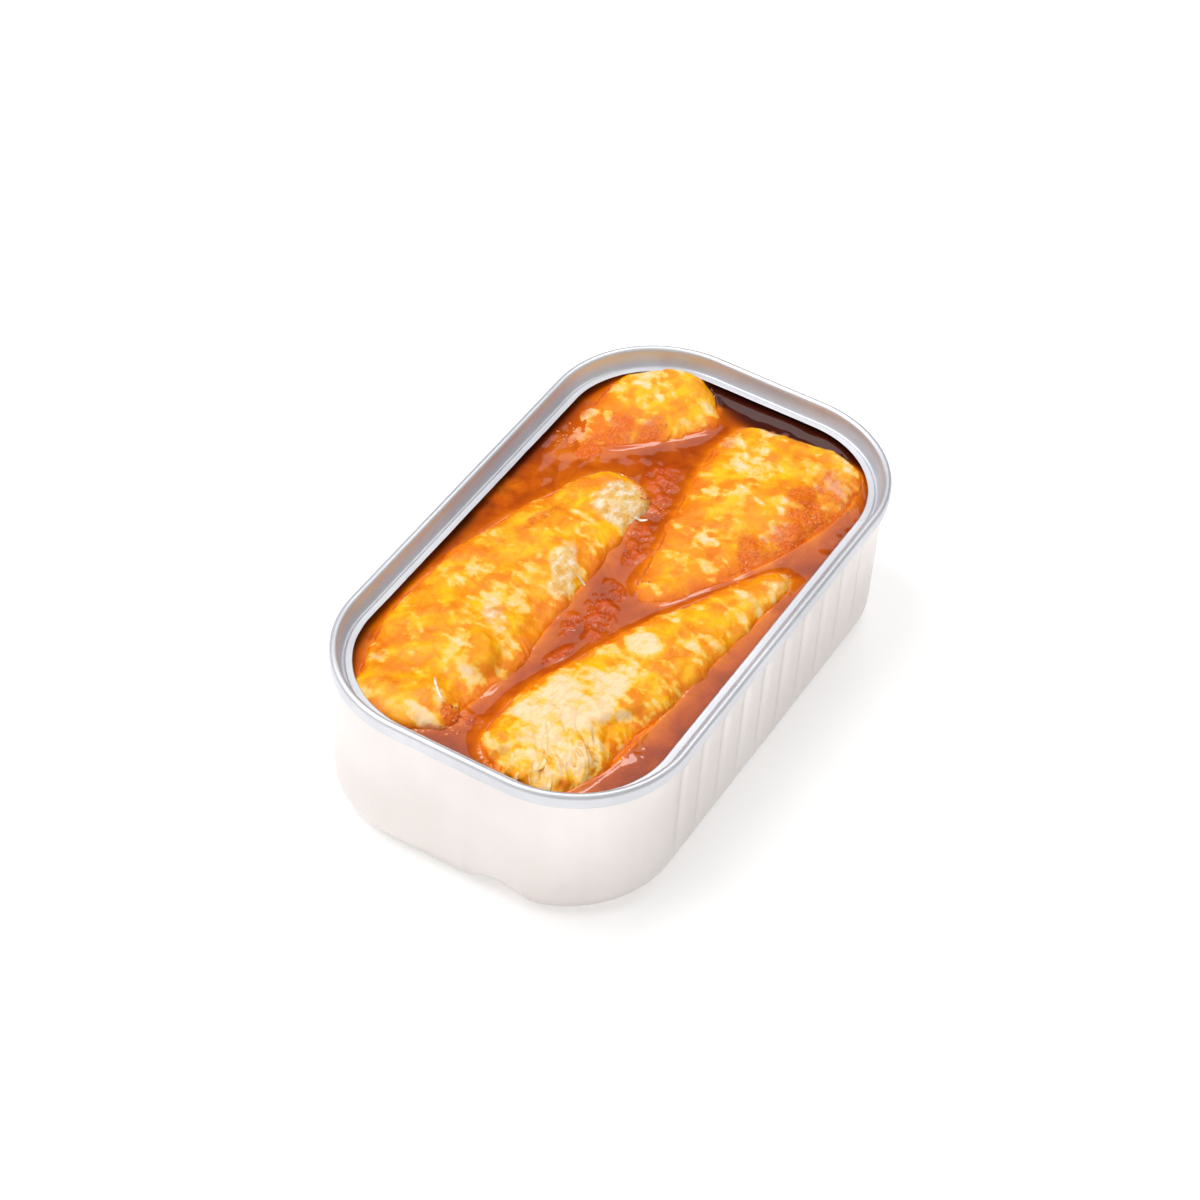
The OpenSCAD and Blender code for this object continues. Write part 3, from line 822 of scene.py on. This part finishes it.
    # A skirt and a flat base close it below, where nothing is seen.
    rim = np.concatenate([np.arange(ny), np.arange(1, nx) * ny + ny - 1,
                          (nx - 1) * ny + np.arange(ny - 2, -1, -1), np.arange(nx - 2, 0, -1) * ny])
    k0, k = len(top), len(rim)
    rings = []
    for inward, z_low in ((0.9, LEVEL - 1.0), (0.9, 5.0), (3.2, 1.4)):
        ring = top[rim].copy()
        ring[:, :2] *= (1 - inward / np.linalg.norm(ring[:, :2], axis=1))[:, None]
        ring[:, 2] = z_low
        rings.append(ring)
    points = np.vstack([top] + rings + [[[0, 0, 1.4]]])
    sides = []
    for i in range(3):
        a = rim if i == 0 else k0 + (i - 1) * k + np.arange(k)
        b = k0 + i * k + np.arange(k)
        sides.append(np.stack([a, np.roll(a, -1), np.roll(b, -1), b], 1))
    base = fan(k0 + 2 * k + np.arange(k), len(points) - 1)
    ob = make_mesh("tomato_oil", points, [grid_faces(nx, ny), np.vstack(sides), base])
    outward(ob)
    pad = lambda q: np.concatenate([q, np.zeros(len(points) - len(q))])
    masks = np.stack([pad(glow), pad(np.clip(deep, 0, 1)), pad(dark), np.ones(len(points))], 1)
    put(ob, "masks", masks, "FLOAT_COLOR")
    put(ob, "clump", pad(clump))
    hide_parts("sauce")
    return ob


# Clumps of tomato in the oil: x, y, half length, half width and turn.
CLUMPS = [(-10.5, -2.6, 5.0, 2.4, 20), (-4.0, -1.6, 2.6, 1.5, 60), (-14, 0.5, 3.0, 1.2, 10),
          (23, 5.0, 4.5, 2.6, 20), (17.5, 3.6, 3.2, 1.6, 80), (8.0, 0.6, 5.0, 2.2, 15),
          (-41, 3.4, 3.2, 1.5, 100), (0.5, -4.0, 1.6, 1.4, 0), (-21, -1.6, 3.0, 0.9, 160)]


def clump_field(p):
    total = np.zeros(len(p))
    for x, y, rx, ry, turn in CLUMPS:
        total = np.maximum(total, spot(p, x, y, rx, ry, turn, 0.5))
    return total * smooth(-0.5, 0.35, fbm(p, 1.8, 3, 80))


def sauce_paint():
    m = Paint("tomato_oil_paint")
    split = m.node("ShaderNodeSeparateColor")
    m.link(m.attr("masks", "Color"), split.inputs[0])
    glow, deep, dark = split.outputs[0], split.outputs[1], split.outputs[2]
    clump = m.attr("clump")
    cloud = m.noise(150.0, 5.0, 0.6, distortion=0.6)
    grain = m.noise(1500.0, 3.0, 0.6)
    body = m.ramp(m.range(cloud, 0.3, 0.7),
                  [(0.0, srgb(140, 49, 0)), (0.5, srgb(166, 62, 0)), (1.0, srgb(186, 76, 2))])
    body = m.mix(m.range(grain, 0.56, 0.72, 0.0, 0.4), body, srgb(186, 78, 2))
    # Painted shade: the dark mask turns the oil dark brown along the left wall, under the ledge's edge and
    # towards the near end.
    body = m.mix(m.math("MULTIPLY", dark, m.range(cloud, 0.25, 0.6, 0.75, 1.0)), body, srgb(84, 24, 2))
    body = m.mix(m.math("MULTIPLY", clump, m.range(grain, 0.35, 0.6, 0.5, 1.0)), body, srgb(206, 76, 0))
    lit = m.mix(m.range(cloud, 0.35, 0.65), srgb(210, 92, 0), srgb(236, 128, 0))
    body = m.mix(glow, body, lit)
    body = m.mix(deep, body, srgb(66, 20, 10))
    rough = m.math("ADD", m.math("MULTIPLY", clump, 0.7), m.math("MULTIPLY", grain, 0.2))
    rough = m.range(rough, 0.1, 0.8, 0.03, 0.30)
    nrm = m.bump(m.math("MULTIPLY", grain, clump), 0.6, 0.00025)
    m.shader.inputs["IOR"].default_value = 1.47
    m.shader.inputs["Specular IOR Level"].default_value = 0.5
    return m.set(Base_Color=body, Roughness=rough, Normal=nrm)


# ---------------------------------------------------------------- small pieces
def height_map(step=0.25):
    """Heights of the food's upper surface on a regular grid over the tin."""
    nx, ny = int(LENGTH / step) + 2, int(WIDTH / step) + 2
    top = np.full((nx, ny), LEVEL)
    for f in FISH:
        g = f.skin[:, f.upper].reshape(-1, 3)
        i = np.round((g[:, 0] + LENGTH / 2) / step).astype(int)
        j = np.round((g[:, 1] + WIDTH / 2) / step).astype(int)
        np.maximum.at(top, (i, j), g[:, 2])
    return top, step


def top_at(x, y):
    """Height of the food at a place, from the grid in HEIGHTS."""
    top, step = HEIGHTS
    i = np.clip(np.round((np.asarray(x) + LENGTH / 2) / step).astype(int), 0, top.shape[0] - 1)
    j = np.clip(np.round((np.asarray(y) + WIDTH / 2) / step).astype(int), 0, top.shape[1] - 1)
    return top[i, j]


def strand(x, y, turn, long, radius, bend, lift, sides=7, steps=14):
    """A tapering thread of flesh lying on the food, with its far end raised a little."""
    t = np.linspace(0, 1, steps)
    a = math.radians(turn) + bend * (t - 0.3)
    step = long / (steps - 1)
    px = x + np.concatenate([[0], np.cumsum(np.cos(a[:-1]) * step)])
    py = y + np.concatenate([[0], np.cumsum(np.sin(a[:-1]) * step)])
    xy = inside_opening(np.stack([px, py], 1), ROOM + radius)
    pz = top_at(xy[:, 0], xy[:, 1])
    pz = np.convolve(np.pad(pz, 2, mode="edge"), np.ones(5) / 5, "valid")
    pz = pz + radius * 0.1 + lift * t ** 2
    r = radius * (0.25 + 0.75 * np.sin(np.pi * np.clip(0.12 + 0.86 * t, 0, 1)) ** 0.6)
    ring = np.linspace(0, 2 * np.pi, sides, endpoint=False)
    nx, ny = -np.sin(a), np.cos(a)
    pts = []
    for i in range(steps):
        for w in ring:
            pts.append((xy[i, 0] + nx[i] * 1.7 * r[i] * math.cos(w),
                        xy[i, 1] + ny[i] * 1.7 * r[i] * math.cos(w),
                        min(pz[i] + 0.6 * r[i] * math.sin(w), HEIGHT - 0.6)))
    pts += [(xy[0, 0], xy[0, 1], pz[0]), (xy[-1, 0], xy[-1, 1], pz[-1])]
    k = len(pts)
    quads = grid_faces(steps, sides, wrap_v=True)
    tris = np.vstack([fan(np.arange(sides), k - 2, True), fan((steps - 1) * sides + np.arange(sides), k - 1)])
    return np.array(pts), quads, tris


def join(name, parts, material):
    """Many small closed shapes as one mesh."""
    points, quads, tris, n = [], [], [], 0
    for pts, q, t in parts:
        points.append(pts)
        quads.append(q + n)
        tris.append(t + n)
        n += len(pts)
    ob = make_mesh(name, np.vstack(points), [np.vstack(quads), np.vstack(tris)])
    outward(ob)
    ob.data.materials.append(material)


def lump(x, y, z, rx, ry, rz, turn, rough, seed, rings=9, sides=14):
    """A closed knobbly ball."""
    th = np.linspace(0, np.pi, rings + 2)[1:-1]
    ph = np.linspace(0, 2 * np.pi, sides, endpoint=False)
    T, P = np.meshgrid(th, ph, indexing="ij")
    d = np.stack([np.sin(T) * np.cos(P), np.sin(T) * np.sin(P), np.cos(T)], 2).reshape(-1, 3)
    d = np.vstack([d, [[0, 0, 1], [0, 0, -1]]])
    r = 1 + rough * fbm(d + seed * 3.1, 0.8, 2, seed)
    q = d * r[:, None] * np.array([rx, ry, rz])
    c, s_ = math.cos(math.radians(turn)), math.sin(math.radians(turn))
    q = np.stack([q[:, 0] * c - q[:, 1] * s_ + x, q[:, 0] * s_ + q[:, 1] * c + y, q[:, 2] + z], 1)
    n = rings * sides
    quads = grid_faces(rings, sides, wrap_v=True)
    tris = np.vstack([fan(np.arange(sides), n), fan((rings - 1) * sides + np.arange(sides), n + 1, True)])
    return q, quads, tris


def flesh_paint(name, light, dark):
    m = Paint(name)
    f = m.noise(900.0, 4.0, 0.6)
    base = m.mix(m.range(f, 0.35, 0.65), light, dark)
    m.shader.inputs["Coat Weight"].default_value = 0.6
    m.shader.inputs["Coat Roughness"].default_value = 0.1
    m.shader.inputs["Subsurface Weight"].default_value = 0.1
    m.shader.inputs["Subsurface Scale"].default_value = 0.001
    return m.set(Base_Color=base, Roughness=0.4, Normal=m.bump(f, 0.3, 0.00005))


def small_pieces():
    """Flakes, slivers, grains and beads, scattered on the sardines and the oil."""
    cream = flesh_paint("pale_flesh", srgb(252, 214, 146), srgb(252, 176, 40))
    silver = flesh_paint("silver_skin", srgb(250, 244, 232), srgb(224, 198, 150))
    red = flesh_paint("tomato_grain", srgb(210, 86, 0), srgb(184, 60, 0))
    foam = flesh_paint("oil_bubble", srgb(240, 150, 70), srgb(224, 104, 16))
    # The torn head end of the front right sardine, in flat flakes that fan out.
    threads = []
    for _ in range(13):
        u = rng.random()
        x = -46.2 + 9.5 * u + rng.normal(0, 1.2)
        y = -10.5 - 7.0 * u + rng.normal(0, 1.6)
        threads.append(strand(x, y, 205 + 50 * u + rng.normal(0, 22), rng.uniform(1.8, 3.6),
                              rng.uniform(0.14, 0.34), rng.normal(0, 1.0), rng.uniform(-0.5, 0.1)))
    join("torn_threads", threads, cream)
    # The bone sliver and two slivers of silver skin on the front left sardine.
    skins = [strand(-38.3, 10.9, 222, 4.8, 0.15, 0.5, 0.05)]
    for x, y, turn, long, r in ((12.6, 4.2, 300, 2.2, 0.2), (-5.0, 4.6, 255, 1.8, 0.16)):
        skins.append(strand(x, y, turn, long, r, rng.normal(0, 0.3), 0.0))
    join("skin_threads", skins, silver)
    # Tomato grains in the clumps.
    grains = []
    for x, y, rx, ry, turn in CLUMPS:
        for _ in range(int(6 * rx * ry)):
            a, q = rng.uniform(0, 2 * np.pi), math.sqrt(rng.random())
            c, s_ = math.cos(math.radians(turn)), math.sin(math.radians(turn))
            u, v = rx * q * math.cos(a), ry * q * math.sin(a)
            gx, gy = x + u * c - v * s_, y + u * s_ + v * c
            r = rng.uniform(0.10, 0.30)
            grains.append(lump(gx, gy, float(top_at(gx, gy)) - 0.45 * r, r * 1.2, r, r * 0.7,
                               rng.uniform(0, 180), 0.35, int(rng.integers(1000)), 5, 8))
    join("tomato_grains", grains, red)
    # Bubbles and wet beads: x, y, half length, half width and count of each group.
    beads = []
    spots = [(24, 24.6, 3.5, 1.5, 26), (33.6, 12.2, 2.6, 1.0, 14), (13, -16.4, 4.5, 1.1, 34),
             (28.8, -20.5, 3.2, 2.2, 24), (22, -20.2, 3.5, 1.6, 16), (-43, 4.0, 2.6, 1.6, 26),
             (29, 17, 3.5, 1.6, 12), (17, 1.6, 2.4, 1.0, 14)]
    for x, y, rx, ry, n in spots:
        for _ in range(n):
            gx, gy = x + rx * rng.normal() * 0.6, y + ry * rng.normal() * 0.6
            gx, gy = inside_opening(np.array([[gx, gy]]), ROOM + 0.5)[0]
            r = rng.uniform(0.10, 0.27)
            beads.append(lump(gx, gy, float(top_at(gx, gy)) - 0.3 * r, r, r, r * 0.75, 0, 0.06,
                              int(rng.integers(1000)), 7, 12))
    join("oil_beads", beads, foam)


# ---------------------------------------------------------------- build
tin_body()
lid_ring()
skin = fish_paint("sardine_skin")
for f, turn, seed, detail, slot in ((A, 20, 101, (170, 18, 0.22), "sardine_back"),
                                    (B, -25, 202, (190, 18, 0.22), "sardine_back"),
                                    (C, 42, 303, (190, 18, 0.22), "sardine_front"),
                                    (D, 38, 404, (180, 18, 0.22), "sardine_front")):
    ob = build_fish(f, turn, seed, detail)
    ob.data.materials.append(skin)
oil = sauce_surface()
oil.data.materials.append(sauce_paint())
HEIGHTS = height_map()
small_pieces()


# ---------------------------------------------------------------- floor, light and camera
floor_mesh = bpy.data.meshes.new("floor")
reach, drop = 6.0, -0.0002
corners = [(-reach, -reach, drop), (reach, -reach, drop), (reach, reach, drop), (-reach, reach, drop)]
floor_mesh.from_pydata(corners, [], [(0, 1, 2, 3)])
floor = bpy.data.objects.new("floor", floor_mesh)
bpy.context.scene.collection.objects.link(floor)
fp = Paint("floor_paint")
fp.shader.inputs["Emission Color"].default_value = (1.0, 0.995, 0.99, 1)
fp.shader.inputs["Emission Strength"].default_value = 0.38
pale = fp.mix(fp.noise(3.0), srgb(239, 238, 237), srgb(242, 241, 241))
floor_mesh.materials.append(fp.set(Base_Color=pale, Roughness=0.9))

# The room: soft and grey, and darker low down behind the tin.
world = bpy.data.worlds.new("studio")
bpy.context.scene.world = world
world.use_nodes = True
wt = world.node_tree
wc = wt.nodes.new("ShaderNodeTexCoord")
wd = wt.nodes.new("ShaderNodeVectorMath")
wd.operation = "DOT_PRODUCT"
wd.inputs[1].default_value = (0.80, 0.41, -0.44)
wt.links.new(wc.outputs["Generated"], wd.inputs[0])
wr = wt.nodes.new("ShaderNodeMapRange")
wr.interpolation_type = "SMOOTHSTEP"
for k, v in (("From Min", -0.25), ("From Max", 0.55), ("To Min", 0.52), ("To Max", 0.08)):
    wr.inputs[k].default_value = v
wt.links.new(wd.outputs["Value"], wr.inputs["Value"])
wt.links.new(wr.outputs["Result"], wt.nodes["Background"].inputs["Strength"])
wt.nodes["Background"].inputs["Color"].default_value = (1.0, 0.985, 0.97, 1)


def softbox(name, azimuth, elevation, distance, width, height, strength):
    """A lamp panel facing the tin. Azimuth is counted from +X towards +Y."""
    a, e = math.radians(azimuth), math.radians(elevation)
    way = Vector((math.cos(a) * math.cos(e), math.sin(a) * math.cos(e), math.sin(e)))
    data = bpy.data.lights.new(name, "AREA")
    data.shape = "RECTANGLE"
    data.size, data.size_y = width, height
    data.energy = strength * width * height * math.pi
    ob = bpy.data.objects.new(name, data)
    ob.location = way * distance + Vector((0, 0, 0.02))
    ob.rotation_mode = "QUATERNION"
    ob.rotation_quaternion = way.to_track_quat("Z", "Y")
    bpy.context.scene.collection.objects.link(ob)


softbox("key", 0, 62, 1.2, 0.975, 0.766, 1.3)
softbox("key_core", 10, 62, 1.15, 0.26, 0.20, 7.4)
softbox("side", 112, 57, 1.3, 1.1, 1.0, 2.4)
softbox("spark", 84, 64, 1.25, 0.13, 0.13, 60.0)

# The camera: azimuth, elevation and roll, then its distance and a small aim offset.
azimuth, elevation, roll = (math.radians(v) for v in (-62.91, 44.36, 4.92))
back = Vector((math.sin(azimuth) * math.cos(elevation), -math.cos(azimuth) * math.cos(elevation),
               math.sin(elevation)))
right = Vector((math.cos(azimuth), math.sin(azimuth), 0))
up = back.cross(right)
right, up = right * math.cos(roll) + up * math.sin(roll), up * math.cos(roll) - right * math.sin(roll)
camera_data = bpy.data.cameras.new("camera")
camera_data.lens = 101.42
camera_data.sensor_width = 36
camera_data.clip_start = 0.01
camera = bpy.data.objects.new("camera", camera_data)
bpy.context.scene.collection.objects.link(camera)
aim = Vector((0, 0, HEIGHT / 2 * MM)) + right * (-2.312 * MM) + up * (2.832 * MM)
place = aim + back * (555.4 * MM)
camera.matrix_world = Matrix(((right.x, up.x, back.x, place.x), (right.y, up.y, back.y, place.y),
                              (right.z, up.z, back.z, place.z), (0, 0, 0, 1)))
bpy.context.scene.camera = camera
bpy.context.scene.view_settings.view_transform = "Standard"
bpy.context.scene.view_settings.look = "None"
